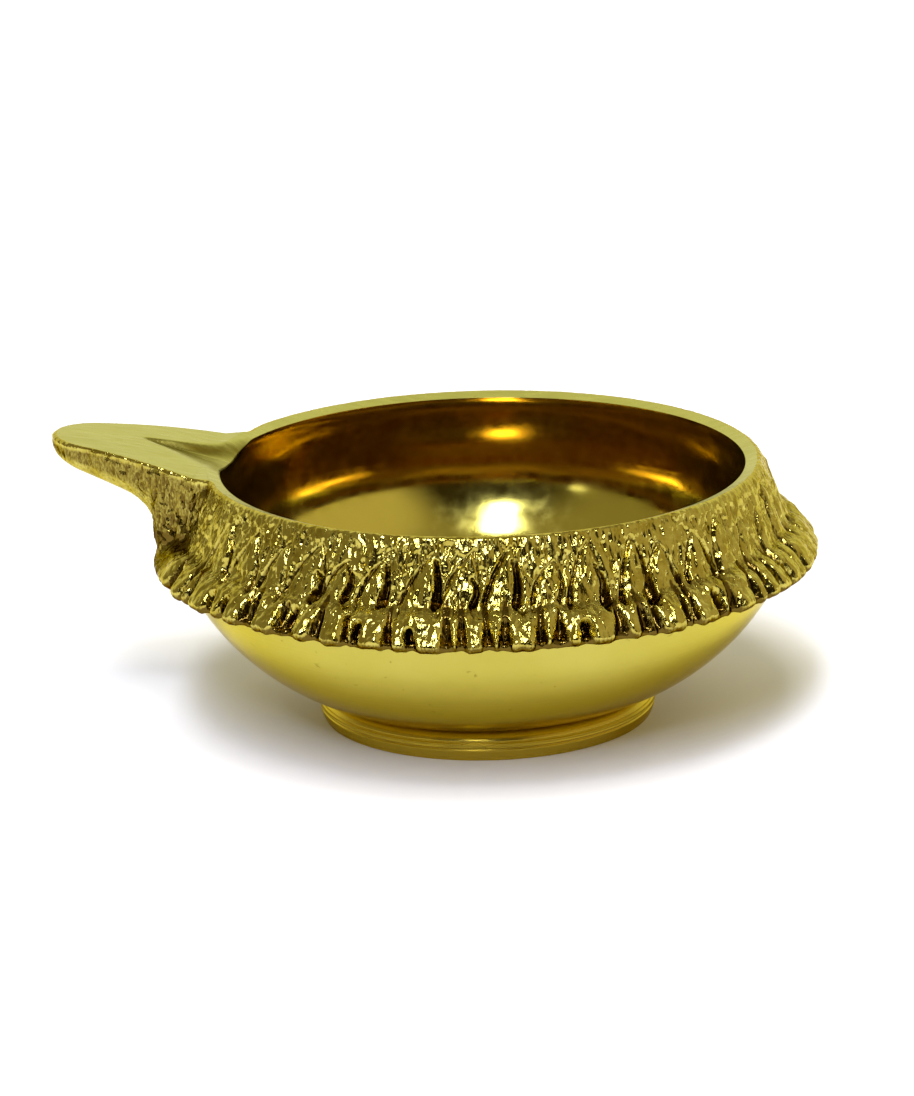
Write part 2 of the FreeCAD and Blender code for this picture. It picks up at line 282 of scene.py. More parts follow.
class Shader:
    """Short calls for building one node material. Distances are in metres."""

    def __init__(self, name):
        self.material = bpy.data.materials.new(name)
        self.material.use_nodes = True
        self.nodes = self.material.node_tree.nodes
        self.links = self.material.node_tree.links
        self.surface = self.nodes["Principled BSDF"]

    def add(self, kind, inputs=(), **settings):
        """A node with its settings and inputs; an input is a value or another node's output."""
        node = self.nodes.new("ShaderNode" + kind)
        for key, value in settings.items():
            setattr(node, key, value)
        for key, value in dict(inputs).items():
            if isinstance(value, bpy.types.NodeSocket):
                self.links.new(value, node.inputs[key])
            else:
                node.inputs[key].default_value = value
        return node

    def feed(self, socket, colour):
        """Give a socket a colour or another node's output."""
        if isinstance(colour, bpy.types.NodeSocket):
            self.links.new(colour, socket)
        else:
            socket.default_value = (*colour, 1)

    def place(self):
        """Place on the lamp."""
        return self.add("TexCoord").outputs["Object"]

    def height(self):
        """Height above the table, scaled for a ramp."""
        above = self.add("SeparateXYZ", {"Vector": self.place()}).outputs["Z"]
        return self.math("MULTIPLY", above, HEIGHT_SCALE)

    def attribute(self, name):
        """A number that the mesh holds for each of its points."""
        return self.add("Attribute", attribute_name=name).outputs["Fac"]

    def stretched(self, scale):
        """Place, scaled along each axis; less than 1 draws a pattern out."""
        return self.add("Mapping", {"Vector": self.place(), "Scale": scale}).outputs["Vector"]

    def noise(self, vector, scale, detail, roughness=0.55):
        """Smooth noise from 0 to 1; scale is in waves per metre."""
        inputs = {"Vector": vector, "Scale": scale, "Detail": detail, "Roughness": roughness}
        return self.add("TexNoise", inputs).outputs["Fac"]

    def ramp(self, value, stops):
        """A grey ramp; stops are (position, grey value)."""
        node = self.add("ValToRGB", {"Fac": value})
        elements = node.color_ramp.elements
        for element, (position, grey) in zip(elements, stops):
            element.position = position
            element.color = (grey, grey, grey, 1)
        return node.outputs["Color"]

    def math(self, operation, a, b):
        """One sum of two numbers or outputs."""
        return self.add("Math", {0: a, 1: b}, operation=operation).outputs["Value"]

    def mix(self, factor, first, second):
        """Colour between first and second, which are colours or outputs; factor is an output."""
        node = self.add("Mix", {MIX_FACTOR: factor}, data_type="RGBA")
        self.feed(node.inputs[MIX_FIRST], first)
        self.feed(node.inputs[MIX_SECOND], second)
        return node.outputs[MIX_RESULT]

    def bump(self, height, distance, strength=1.0, normal=None):
        """A bumpy normal, on top of another one if given."""
        inputs = {"Height": height, "Distance": distance, "Strength": strength}
        if normal is not None:
            inputs["Normal"] = normal
        return self.add("Bump", inputs).outputs["Normal"]

    def finish(self, colour, roughness, normal, edge):
        """Wire up the metal; edge is its colour or an output, for where it is seen at a shallow angle."""
        self.surface.inputs["Metallic"].default_value = 1.0
        self.feed(self.surface.inputs["Specular Tint"], edge)
        self.feed(self.surface.inputs["Base Color"], colour)
        self.links.new(roughness, self.surface.inputs["Roughness"])
        self.links.new(normal, self.surface.inputs["Normal"])
        return self.material


def turned_brass(name, light, dark, low, roughness, line_depth):
    """Brass from the lathe: fine rings, soft cloudiness, a few specks, and browner low down, which is
    painted shade standing in for the shaded table that the bowl mirrors.
    """
    s = Shader(name)
    along = s.attribute("along")
    place = s.place()
    lengthwise = s.add("CombineXYZ", {"X": along}).outputs["Vector"]
    rings = s.noise(lengthwise, scale=3200.0, detail=2.0)
    bands = s.noise(lengthwise, scale=420.0, detail=2.0)
    clouds = s.noise(place, scale=95.0, detail=4.0)
    specks = s.ramp(s.noise(place, scale=900.0, detail=2.0), [(0.70, 0.0), (0.76, 1.0)])
    colour = s.mix(s.ramp(clouds, [(0.3, 0.0), (0.7, 1.0)]), light, dark)
    # Painted shade: the low colour takes over towards the table, as if mirroring its shadow.
    colour = s.mix(s.ramp(s.height(), [(0.25, 0.0), (0.58, 1.0)]), low, colour)
    colour = s.mix(s.math("MULTIPLY", specks, 0.5), colour, SPECK)
    gloss = s.ramp(bands, [(0.2, roughness * 0.8), (0.8, roughness * 1.25)])
    normal = s.bump(rings, distance=line_depth)
    normal = s.bump(clouds, distance=0.25 * MM, strength=0.35, normal=normal)
    return s.finish(colour, gloss, normal, BRASS_EDGE)


def polished_brass(name, floor, wall, roughness):
    """Brass polished inside the bowl, browner and darker on the overhanging wall above the floor, which is
    painted shade.
    """
    s = Shader(name)
    place = s.place()
    clouds = s.noise(place, scale=120.0, detail=3.0)
    haze = s.noise(place, scale=600.0, detail=4.0)
    waves = s.noise(place, scale=60.0, detail=2.0)
    # Painted shade: the wall colour darkens the inside from just below the seam upwards, the shaded
    # overhang.
    colour = s.mix(s.ramp(s.height(), [(0.70, 0.0), (0.78, 1.0)]), floor, wall)
    colour = s.mix(s.math("MULTIPLY", clouds, 0.2), colour, wall)
    gloss = s.ramp(haze, [(0.3, roughness * 0.7), (0.75, roughness * 1.5)])
    return s.finish(colour, gloss, s.bump(waves, distance=0.4 * MM), POLISHED_EDGE)


def chiselled_brass(name, light, dark, dark_and_shade):
    """Cast brass, hammered and chiselled: bright where it is handled, with a dark patina in the cuts, and
    the same dark painted as shade along the lower edge and under the spout.
    """
    s = Shader(name)
    place = s.place()
    upright = s.stretched((1.0, 1.0, 0.45))
    strokes = s.noise(upright, scale=1900.0, detail=0.5)
    grain = s.noise(upright, scale=6500.0, detail=2.0)
    clouds = s.noise(place, scale=700.0, detail=5.0, roughness=0.7)
    colour = s.mix(s.ramp(clouds, [(0.35, 0.0), (0.65, 1.0)]), light, dark)
    scatter = s.math("MULTIPLY", s.math("SUBTRACT", grain, 0.5), 1.1)
    # Patina in the cuts, and painted shade along the lower edge and under the spout, both from the mesh's
    # dark attribute.
    dark_and_shade_amount = s.math("ADD", s.attribute("dark_and_shade"), scatter)
    patina = s.ramp(dark_and_shade_amount, [(0.25, 0.0), (0.8, 1.0)])
    colour = s.mix(patina, colour, dark_and_shade)
    gloss = s.ramp(grain, [(0.3, 0.07), (0.7, 0.16)])
    normal = s.bump(strokes, distance=0.26 * MM, strength=0.8)
    normal = s.bump(grain, distance=0.04 * MM, strength=0.8, normal=normal)
    return s.finish(colour, gloss, normal, s.mix(patina, BRASS_EDGE, PATINA_EDGE))


def filed_brass(name, light, dark, groove):
    """The top of rim and spout, with file strokes along the spout, and duller and darker in the wick
    groove, with painted shade on the groove's far wall.
    """
    s = Shader(name)
    strokes = s.noise(s.stretched((0.25, 1.0, 0.5)), scale=1600.0, detail=2.0)
    clouds = s.noise(s.place(), scale=200.0, detail=4.0)
    colour = s.mix(clouds, light, dark)
    streaks = s.math("MULTIPLY", s.attribute("dark_and_shade"), s.ramp(strokes, [(0.3, 0.55), (0.7, 1.0)]))
    colour = s.mix(streaks, colour, groove)
    gloss = s.ramp(strokes, [(0.3, 0.24), (0.7, 0.4)])
    normal = s.bump(strokes, distance=0.06 * MM, strength=0.8)
    return s.finish(colour, gloss, normal, FILED_EDGE)


# ---- Foot ring and bowl

FOOT_COLUMNS = 360
FOOT_STEPS = 301
FOOT_LINE_DEPTHS = (0.12, 0.05, 0.10)
FOOT_LINE_WIDTH = 0.08
FOOT_OUT_OF_ROUND = 0.03
BOWL_COLUMNS = 420
BOWL_OUTSIDE_STEPS = 110
BOWL_INSIDE_STEPS = 130
BOWL_OUT_OF_ROUND = 0.04
BOWL_RIPPLE = 0.03


def make_foot_ring(materials):
    """Turned foot ring with its turned lines, open underneath."""
    base, waist = (FOOT_BASE_RADIUS, 0.0), (FOOT_WAIST_RADIUS, FOOT_WAIST_HEIGHT)
    neck, inner_top = (FOOT_NECK_RADIUS, FOOT_HEIGHT), (BOSS_RADIUS, FOOT_HEIGHT)
    inner_base = (BOSS_RADIUS, 0.0)
    outline = joined([inner_base, base], arc(base, waist, FOOT_SIDE_BEND, 1),
                     arc(waist, neck, FOOT_SHOULDER_BEND, 1), [neck, inner_top, inner_base])
    outline = eased(evenly(outline, FOOT_STEPS), 1)[:-1]
    outside = outline[:, 0] > FOOT_BASE_RADIUS
    for number, depth in enumerate(FOOT_LINE_DEPTHS):
        height = FOOT_LINE_START + number * FOOT_LINE_PITCH
        cut = depth * np.exp(-((outline[:, 1] - height) / FOOT_LINE_WIDTH) ** 2)
        outline[:, 0] -= np.where(outside, cut, 0)

    def wobble(angle, height):
        return FOOT_OUT_OF_ROUND * np.sin(2 * angle + 1.0) - FOOT_OUT_OF_ROUND

    piece = lathe("foot_ring_metal", outline, FOOT_COLUMNS, materials, [0] * len(outline), wobble)
    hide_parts("foot_ring")


def make_bowl(materials):
    """Turned bowl: materials are for its outside and its inside."""
    boss, neck = (BOSS_RADIUS, BOSS_HEIGHT), (FOOT_NECK_RADIUS, FOOT_HEIGHT)
    shoulder = (SEAM_OUTER_RADIUS, COLLAR_BASE)
    seam_outer, seam_inner = (SEAM_OUTER_RADIUS, SEAM_HEIGHT), (SEAM_INNER_RADIUS, SEAM_HEIGHT)
    wall_turn, floor_edge = (WALL_TURN_RADIUS, WALL_TURN_HEIGHT), (FLOOR_RADIUS, FLOOR_HEIGHT)
    outside = joined([(0.0, BOSS_HEIGHT), boss, (BOSS_RADIUS, FOOT_HEIGHT), neck],
                     arc(neck, shoulder, BOWL_SIDE_BEND, 1), [shoulder, seam_outer])
    inside = joined([seam_outer, seam_inner], arc(seam_inner, wall_turn, WALL_BEND, -1),
                    arc(wall_turn, floor_edge, FLOOR_BEND, -1), [floor_edge, (0.0, FLOOR_HEIGHT)])
    outside, inside = eased(evenly(outside, BOWL_OUTSIDE_STEPS), 1), evenly(inside, BOWL_INSIDE_STEPS)
    seam = np.argmin(np.hypot(inside[:, 0] - SEAM_INNER_RADIUS, inside[:, 1] - SEAM_HEIGHT))
    inside[seam] = seam_inner
    outline = np.vstack([outside, inside[1:]])
    outline[0, 0] = outline[-1, 0] = 0.0
    zone = [0 if i < len(outside) else 1 for i in range(len(outline))]

    def wobble(angle, height):
        oval, ripple = np.sin(2 * angle + 0.6), np.sin(3 * angle + height / 3)
        error = BOWL_OUT_OF_ROUND * oval + BOWL_RIPPLE * ripple - BOWL_RIPPLE
        return error * smooth_step((COLLAR_BASE - height) / 4)

    piece = lathe("bowl_metal", outline, BOWL_COLUMNS, materials, zone, wobble)
    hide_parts("bowl")


# ---- Collar and spout
# Turns are measured from the spout, anticlockwise seen from above, so that the side that faces the
# camera is near a quarter turn.

OUTER_ROWS = 74
TOP_ROWS = 44
ROUNDING_ROWS = 5
LIP_ROWS = 4
UNDERCUT_ROWS = 8
UNDERSIDE_ROWS = 4
FINE_SECTOR = math.radians(28)
FINE_COLUMNS = 300
OTHER_COLUMNS = 1250

# The ring: its broken lower edge, and how much flatter it is under the spout.
LOWER_EDGE_INSET = 0.4
LOWER_EDGE_SWELL = 0.2
LOWER_EDGE_HEIGHT = 0.35
RING_STEPS = 401
RING_EASING = 12
UNDER_SPOUT_FLAT = 0.35
UNDER_SPOUT_TURN = 0.5
UNDER_SPOUT_FADE = 0.2

# The spout's sides and underside. The underside's outline starts inside the ring.
TIP_KEEL_ROUNDING = 1.2
CHIN_KEEL_ROUNDING = 2.0
CHIN_SETBACK = 0.35
CHIN_FOOT_SETBACK = 0.95
NECK_START_INWARDS = 1.0
NECK_START_BELOW = 3.0
UNDERSIDE_STEPS = 201
UNDERSIDE_EASING = 6
UNDERSIDE_STEEPEST = 2.5
SPOUT_SECTOR = math.radians(50)
SPOUT_FILLET = 0.9
SEARCH_START = 15.0
SEARCH_MARGIN = 2.0
SEARCH_HALVINGS = 22

# The rim and the top of the spout.
SPOUT_CROWN = 0.3
SPOUT_CROWN_SKEW = 0.9
RIM_CREST_RADIUS = 25.1
RIM_DIP = 0.42
RIM_DIP_FADE = 1.5
RIM_EDGE_DROP = 0.2
RIM_EDGE_PASSES = 8
RIM_ROUNDING = 0.4
LEAST_LIP = 0.35

# The wick groove: its far and near edge, how they spread towards the bowl, and its far wall.
GROOVE_START = 31.9
GROOVE_LEAST_REACH = 15
GROOVE_START_DEPTH = 0.3
GROOVE_MOUTH_DEEPENING = 0.7
GROOVE_START_SHARPNESS = 8
GROOVE_FAR_EDGE = 1.4
GROOVE_FAR_SPREAD = 1.6
GROOVE_FAR_FLARE = 3.2
GROOVE_NEAR_EDGE = 1.3
GROOVE_NEAR_SPREAD = 6.6
GROOVE_WALL_WIDTH = 0.2
GROOVE_WALL_SPREAD = 3.4


def ring_radius(height):
    """Outside of the plain ring, without the spout."""
    corners = [(COLLAR_EDGE_RADIUS - LOWER_EDGE_INSET, COLLAR_BASE),
               (COLLAR_EDGE_RADIUS + LOWER_EDGE_SWELL, COLLAR_BASE + LOWER_EDGE_HEIGHT),
               (BULGE_RADIUS, BULGE_HEIGHT), (CREST_RADIUS, CREST_HEIGHT),
               (WAIST_RADIUS, WAIST_HEIGHT), (RIM_OUTER_RADIUS, RIM_HEIGHT)]
    outline = eased(evenly(np.array(corners), RING_STEPS), RING_EASING)
    return np.interp(height, outline[:, 1], outline[:, 0])


def spout_top(reach):
    """Height of the spout's top at a distance along it: an even rise with a slight crown."""
    share = np.clip((reach - RIM_OUTER_RADIUS) / (SPOUT_REACH - RIM_OUTER_RADIUS), 0, 1)
    crown = SPOUT_CROWN * np.sin(math.pi * share ** SPOUT_CROWN_SKEW)
    return RIM_HEIGHT + (TIP_HEIGHT - RIM_HEIGHT) * share + crown


def inside_plan(reach, side):
    """Distance inside the spout's outline seen from above."""
    centre = SPOUT_REACH - TIP_BEND
    back, across = centre - SPOUT_ROOT, SPOUT_ROOT_HALF_WIDTH
    taper = math.acos(TIP_BEND / math.hypot(back, across)) - math.atan2(back, across)
    side = np.abs(side)
    flank = TIP_BEND - (reach - centre) * math.sin(taper) - side * math.cos(taper)
    tip = TIP_BEND - np.hypot(reach - centre, side)
    return np.where((reach - centre) * math.cos(taper) > side * math.sin(taper), tip, flank)


def above_underside(reach, height):
    """Distance above the spout's underside, taken as no steeper than UNDERSIDE_STEEPEST."""
    chin = (CHIN_REACH - CHIN_SETBACK, float(spout_top(CHIN_REACH)) - CHIN_DEPTH)
    foot = (BULGE_RADIUS - CHIN_FOOT_SETBACK, CHIN_FOOT_HEIGHT)
    edge = (SPOUT_REACH, TIP_HEIGHT - TIP_THICKNESS)
    start = (foot[0] - NECK_START_INWARDS, COLLAR_BASE - NECK_START_BELOW)
    outline = joined([start, foot], arc(foot, chin, CHIN_BEND, -1), [chin, edge])
    outline = eased(evenly(outline, UNDERSIDE_STEPS), UNDERSIDE_EASING)
    rise = np.clip(np.gradient(outline[:, 1], outline[:, 0]), 0, UNDERSIDE_STEEPEST)
    level = np.interp(reach, outline[:, 0], outline[:, 1])
    return (height - level) / np.hypot(1, np.interp(reach, outline[:, 0], rise))


def spout_radius(turn, height):
    """Outside of the spout along each turn at each height, found by halving."""
    low, high = np.full(height.shape, SEARCH_START), np.full(height.shape, SPOUT_REACH + SEARCH_MARGIN)
    for _ in range(SEARCH_HALVINGS):
        middle = (low + high) / 2
        reach, side = middle * np.cos(turn), middle * np.sin(turn)
        near_tip = smooth_step((reach - CHIN_REACH) / (SPOUT_REACH - CHIN_REACH))
        rounding = CHIN_KEEL_ROUNDING + (TIP_KEEL_ROUNDING - CHIN_KEEL_ROUNDING) * near_tip
        across = np.clip(rounding - inside_plan(reach, side), 0, None)
        down = np.clip(rounding - above_underside(reach, height), 0, None)
        inside = np.hypot(across, down) < rounding
        low, high = np.where(inside, middle, low), np.where(inside, high, middle)
    return low


def outer_radius(turn, height):
    """Outside of collar and spout together; turn is between -pi and pi."""
    under_spout = smooth_step((UNDER_SPOUT_TURN - np.abs(turn)) / UNDER_SPOUT_FADE)
    ring = ring_radius(height) - UNDER_SPOUT_FLAT * under_spout
    near = np.abs(turn) < SPOUT_SECTOR
    spout = np.where(near, spout_radius(np.where(near, turn, 0), height), 0)
    return blend_max(ring, spout, SPOUT_FILLET)


def groove_shape(reach, side):
    """Depth of the wick groove below the spout's top, and how much duller and darker it is, most of all on
    its far wall, where that dark is painted shade.

    share is 0 where the groove starts and 1 where it meets the bowl's mouth.
    """
    far_side = -side
    share = np.clip((GROOVE_START - reach) / (GROOVE_START - MOUTH_RADIUS), 0, 1.1)
    share = share * (reach > GROOVE_LEAST_REACH)
    started = smooth_step(share * GROOVE_START_SHARPNESS)
    back = GROOVE_FAR_EDGE + GROOVE_FAR_SPREAD * share + GROOVE_FAR_FLARE * share ** 4
    front = GROOVE_NEAR_EDGE - GROOVE_NEAR_SPREAD * share
    deepest = GROOVE_START_DEPTH * started + GROOVE_MOUTH_DEEPENING * share
    wall = smooth_step((back - far_side) / (GROOVE_WALL_WIDTH + GROOVE_WALL_SPREAD * share ** 3))
    slope_width = np.maximum((back - front) * (1.1 - 0.5 * share), 0.3)
    slope = smooth_step((far_side - front) / slope_width)
    # Duller across the groove, and darkest on its far wall, which is painted shade.
    dull_and_shade = 0.35 * wall * slope + 3.6 * wall * (1 - wall) * slope
    return deepest * wall * slope, dull_and_shade * started


def collar_turns():
    """Turn of each mesh column, closer together round the spout."""
    near = np.linspace(-FINE_SECTOR, FINE_SECTOR, FINE_COLUMNS, endpoint=False)
    far = np.linspace(FINE_SECTOR, 2 * math.pi - FINE_SECTOR, OTHER_COLUMNS, endpoint=False)
    return np.concatenate([near, far])


def outer_sheet(turns, samples=220):
    """Outside of the collar as (column, row) arrays of radius and height, before it is chiselled."""
    signed = ((turns + math.pi) % (2 * math.pi) - math.pi)[:, None]
    edge_height = np.full(signed.shape, RIM_HEIGHT)
    for _ in range(RIM_EDGE_PASSES):
        edge_radius = outer_radius(signed, edge_height)
        edge_height = spout_top(edge_radius * np.cos(signed)) - RIM_EDGE_DROP
    share = np.linspace(0, 1, samples)[None, :]
    heights = COLLAR_BASE + (edge_height - COLLAR_BASE) * share
    radii = outer_radius(np.broadcast_to(signed, heights.shape), heights)
    sheet = [evenly(np.stack([r, h], axis=1), OUTER_ROWS) for r, h in zip(radii, heights)]
    return np.array(sheet)


def in_space(turns, sheet):
    """(column, row, xyz) from turns and a (column, row, (radius, height)) sheet."""
    turn = turns[:, None]
    return np.stack([-sheet[..., 0] * np.cos(turn), -sheet[..., 0] * np.sin(turn), sheet[..., 1]], axis=-1)


def rim_height(radius, reach, side):
    """Top of rim and spout: a land that dips towards the mouth, and the wick groove."""
    dip = RIM_DIP * np.clip((RIM_CREST_RADIUS - radius) / (RIM_CREST_RADIUS - MOUTH_RADIUS), 0, 1)
    on_ring = smooth_step((RIM_OUTER_RADIUS + RIM_DIP_FADE - reach) / RIM_DIP_FADE)
    return spout_top(reach) - dip * on_ring - groove_shape(reach, side)[0]


def top_sheet(turns, edge):
    """Rows from the chiselled upper edge, given in space, over its rounding and on to the mouth."""
    turn = turns[:, None]
    edge_radius = np.hypot(edge[:, 0], edge[:, 1])[:, None]
    near = np.linspace(0, RIM_ROUNDING, ROUNDING_ROWS + 1)[None, 1:]
    near = np.broadcast_to(near, (len(turns), ROUNDING_ROWS))
    share = np.linspace(0, 1, TOP_ROWS - ROUNDING_ROWS + 1)[None, 1:]
    across = edge_radius - MOUTH_RADIUS - RIM_ROUNDING
    inwards = np.concatenate([near, RIM_ROUNDING + across * share], axis=1)
    radius = edge_radius - inwards
    reach, side = radius * np.cos(turn), radius * np.sin(turn)
    height = rim_height(radius, reach, side)
    at_edge = rim_height(edge_radius, edge_radius * np.cos(turn), edge_radius * np.sin(turn))
    fall = np.clip(1 - inwards / RIM_ROUNDING, 0, 1) ** 2
    return np.stack([radius, height + (edge[:, 2:3] - at_edge) * fall], axis=-1)


def inner_sheet(mouth_height):
    """Rows down the lip, the undercut, the rebate over the bowl and along the underside, per column."""
    sheet = []
    lip_low = RIM_HEIGHT - LIP_DEPTH
    seam = (SEAM_INNER_RADIUS, SEAM_HEIGHT)
    curve = np.array(arc((MOUTH_RADIUS, lip_low), seam, LIP_BEND, -1, steps=80))
    for level in mouth_height:
        low = min(lip_low, level - LEAST_LIP)
        undercut = evenly(curve[curve[:, 1] <= low + TOLERANCE], UNDERCUT_ROWS)
        share = np.linspace(0, 1, LIP_ROWS + 1)[1:-1, None]
        lip = np.array([MOUTH_RADIUS, level]) * (1 - share) + undercut[0] * share
        seat = np.array([(SEAM_OUTER_RADIUS, SEAM_HEIGHT), (SEAM_OUTER_RADIUS, COLLAR_BASE)])
        sheet.append(np.vstack([lip, undercut, seat]))
    return np.array(sheet)


def sheet_normals(grid):
    """Outward normals of an open sheet, columns periodic."""
    around = np.roll(grid, -1, axis=0) - np.roll(grid, 1, axis=0)
    along = np.gradient(grid, axis=1)
    normal = np.cross(around, along)
    return normal / np.maximum(np.linalg.norm(normal, axis=-1, keepdims=True), 1e-9)


# ---- Chiselling

CHISEL_RADIUS = 28.0
ROWS_MEET = 17.9
LOBE_FADE = 1.2

UPPER_PETALS = 46
PETALS_START = 34
PETAL_HALF_WIDTH = 1.45
PETAL_FOOT = 18.0
PETAL_TIP = 22.6
PETAL_SWELL = 0.26
OUTLINED_SHARE = 0.7
OUTLINE_PETAL_SIDE = (0.2, 0.12)
OUTLINE_OTHER_SIDE = (0.5, 0.15)
NOTCHED_SHARE = 0.75

LOWER_PITS = 84
PITS_START = 20
PIT_FOOT = 14.8
PIT_TOPS = (16.4, 18.8)
PIT_FLOOR_RADII = (29.6, 27.9)
PIT_SHOULDER_RADII = (29.6, 28.0)
NARROW_PITS = (140, 220)
NARROW_FADE = 20
NARROWED_BY = 0.6

STIPPLES = 4200
STIPPLE_HEIGHTS = (15.0, 26.0)
PETALS_SPARED = 0.65
LOBES_SPARED = 0.75

SIDE_NICKS = 23
FIRST_NICK = 3.0
NICKS_LEFT_OUT = 3.5
NICK_HEIGHT = 1.3
CREASE_TURN = math.radians(20.5)

# Patches of the cast surface: number round the collar, number of rows, rows in a millimetre.
PATCH_SIZES = ((130, 10, 0.6), (330, 16, 1.1), (700, 34, 2.6))

# Share of the relief left at the upper edge, and the rows over which it fades.
EDGE_RELIEF = 0.3
EDGE_FADE_ROWS = 5

# What a cut follows of the surface's normal: it goes in nearly level.
CUT_DIRECTION = np.array([1.0, 1.0, 0.45])


class ChiselMap:
    """Depth of cut over the collar's outside.

    Places are in millimetres: along the contour seen from above, scaled so that it is the turn times
    CHISEL_RADIUS on the ring, and up.
    """

    def __init__(self, turns, contour, radius, height):
        steps = np.linalg.norm(np.roll(contour, -1, axis=0) - contour, axis=1)
        steps *= CHISEL_RADIUS / RIM_OUTER_RADIUS
        self.turns = turns % (2 * math.pi)
        self.round = steps.sum()
        self.around = np.concatenate([[0], np.cumsum(steps)[:-1]])
        self.contour = contour
        self.radius = radius
        self.height = height
        self.depth = np.zeros(height.shape)
        self.swell = np.zeros(height.shape)
        self.dirt = np.zeros(height.shape)

    def at(self, turn):
        """Place along the contour of a turn in degrees."""
        return float(np.interp(math.radians(turn), self.turns[FINE_COLUMNS:], self.around[FINE_COLUMNS:]))

    def cut(self, place, size, bow, left, right, deep, shape, dirt=0.0):
        """One stroke from place (around, height) by size (around, height).

        bow curves it to the right; left and right are its half widths and deep its depth, each at
        the start and at the end; shape is 1 for a V and less for a U; dirt is how much dark it holds
        at its start.
        """
        chosen, inner, away = self.stroke(place, size, bow, left, right)
        share = np.clip(1 - away, 0, 1)
        depth = (deep[0] + (deep[1] - deep[0]) * inner) * share ** shape
        self.depth[chosen] = np.maximum(self.depth[chosen], depth)
        dirt = dirt * (1 - 0.7 * inner) * smooth_step(share * 2)
        self.dirt[chosen] = np.maximum(self.dirt[chosen], dirt)

    def pare(self, place, size, bow, left, right, floor, shape, dirt):
        """One stroke like cut, but down to a floor: its distance from the axis at start and end.

        dirt is how much dark it leaves behind.
        """
        chosen, inner, away = self.stroke(place, size, bow, left, right)
        share = np.clip(1 - away, 0, 1)
        depth = np.clip(self.radius[chosen] - floor[0] - (floor[1] - floor[0]) * inner, 0, None)
        self.depth[chosen] = np.maximum(self.depth[chosen], depth * share ** shape)
        self.dirt[chosen] = np.maximum(self.dirt[chosen], dirt * smooth_step(share * 2))

    def dome(self, place, size, bow, left, right, rise):
        """A rounded ridge along a stroke."""
        chosen, _, away = self.stroke(place, size, bow, left, right)
        self.swell[chosen] = np.maximum(self.swell[chosen], rise * np.sqrt(np.clip(1 - away ** 2, 0, 1)))

    def stroke(self, place, size, bow, left, right):
        """The columns near a stroke, the share along it and the distance from its line in half widths."""
        length = math.hypot(*size)
        span = abs(size[0]) / 2 + abs(bow) + max(*left, *right)
        offset = (self.around - place[0] + self.round / 2) % self.round - self.round / 2
        chosen = np.nonzero(np.abs(offset - size[0] / 2) < span + 0.2)[0]
        a, b = offset[chosen][:, None], self.height[chosen] - place[1]
        share = (a * size[0] + b * size[1]) / length ** 2
        inner = np.clip(share, 0, 1)
        across = (a * size[1] - b * size[0]) / length - bow * 4 * inner * (1 - inner)
        beyond = (share - inner) * length
        wide_left = left[0] + (left[1] - left[0]) * inner
        wide_right = right[0] + (right[1] - right[0]) * inner
        return chosen, inner, np.hypot(across, beyond) / np.where(across < 0, wide_left, wide_right)


def chisel_upper_petals(chisel, generator):
    """Pointed, slightly domed petals, each outlined by two curved strokes that meet at its tip.

    A stroke is steep towards the petal. Some petals lack the right-hand one, and most have a deep
    notch at one foot.
    """
    for number in range(UPPER_PETALS):
        turn = (number + generator.uniform(-0.18, 0.18)) * 360 / UPPER_PETALS
        lean = 0.3 + 0.9 * math.cos(math.radians(1.5 * (turn - 85))) + generator.uniform(-0.3, 0.3)
        half = PETAL_HALF_WIDTH + generator.uniform(-0.4, 0.25)
        foot = PETAL_FOOT + generator.uniform(-0.8, 0.6)
        rise = PETAL_TIP - foot + generator.uniform(-1.2, 0.5)
        bend = generator.uniform(0.25, 0.55)
        deep = generator.uniform(0.35, 0.65)
        swell = PETAL_SWELL * generator.uniform(0.5, 1.2)
        notch_wide, notch_rise, notched, outlined = generator.uniform(0, 1, 4)
        if not PETALS_START < turn < 360 - PETALS_START:
            continue
        around = chisel.at(turn)
        chisel.dome((around, foot - 0.3), (0.85 * lean, 0.85 * rise), bow=0.0,
                    left=(half, 0.6), right=(half, 0.6), rise=swell)
        outline = {"deep": (deep, 0.2), "shape": 0.8, "dirt": 0.5}
        chisel.cut((around - half, foot), (half + lean, rise), bow=-bend,
                   left=OUTLINE_OTHER_SIDE, right=OUTLINE_PETAL_SIDE, **outline)
        if outlined < OUTLINED_SHARE:
            chisel.cut((around + half, foot), (lean - half, rise), bow=bend,
                       left=OUTLINE_PETAL_SIDE, right=OUTLINE_OTHER_SIDE, **outline)
        if notched < NOTCHED_SHARE:
            wide = 0.4 + 0.5 * notch_wide
            size = (0.55 * (lean - half), (0.4 + 0.45 * notch_rise) * rise)
            chisel.cut((around + half - 0.1, foot), size, bow=bend, left=(wide, 0.2),
                       right=(wide * 0.7, 0.2), deep=(0.95, 0.5), shape=0.5, dirt=0.9)


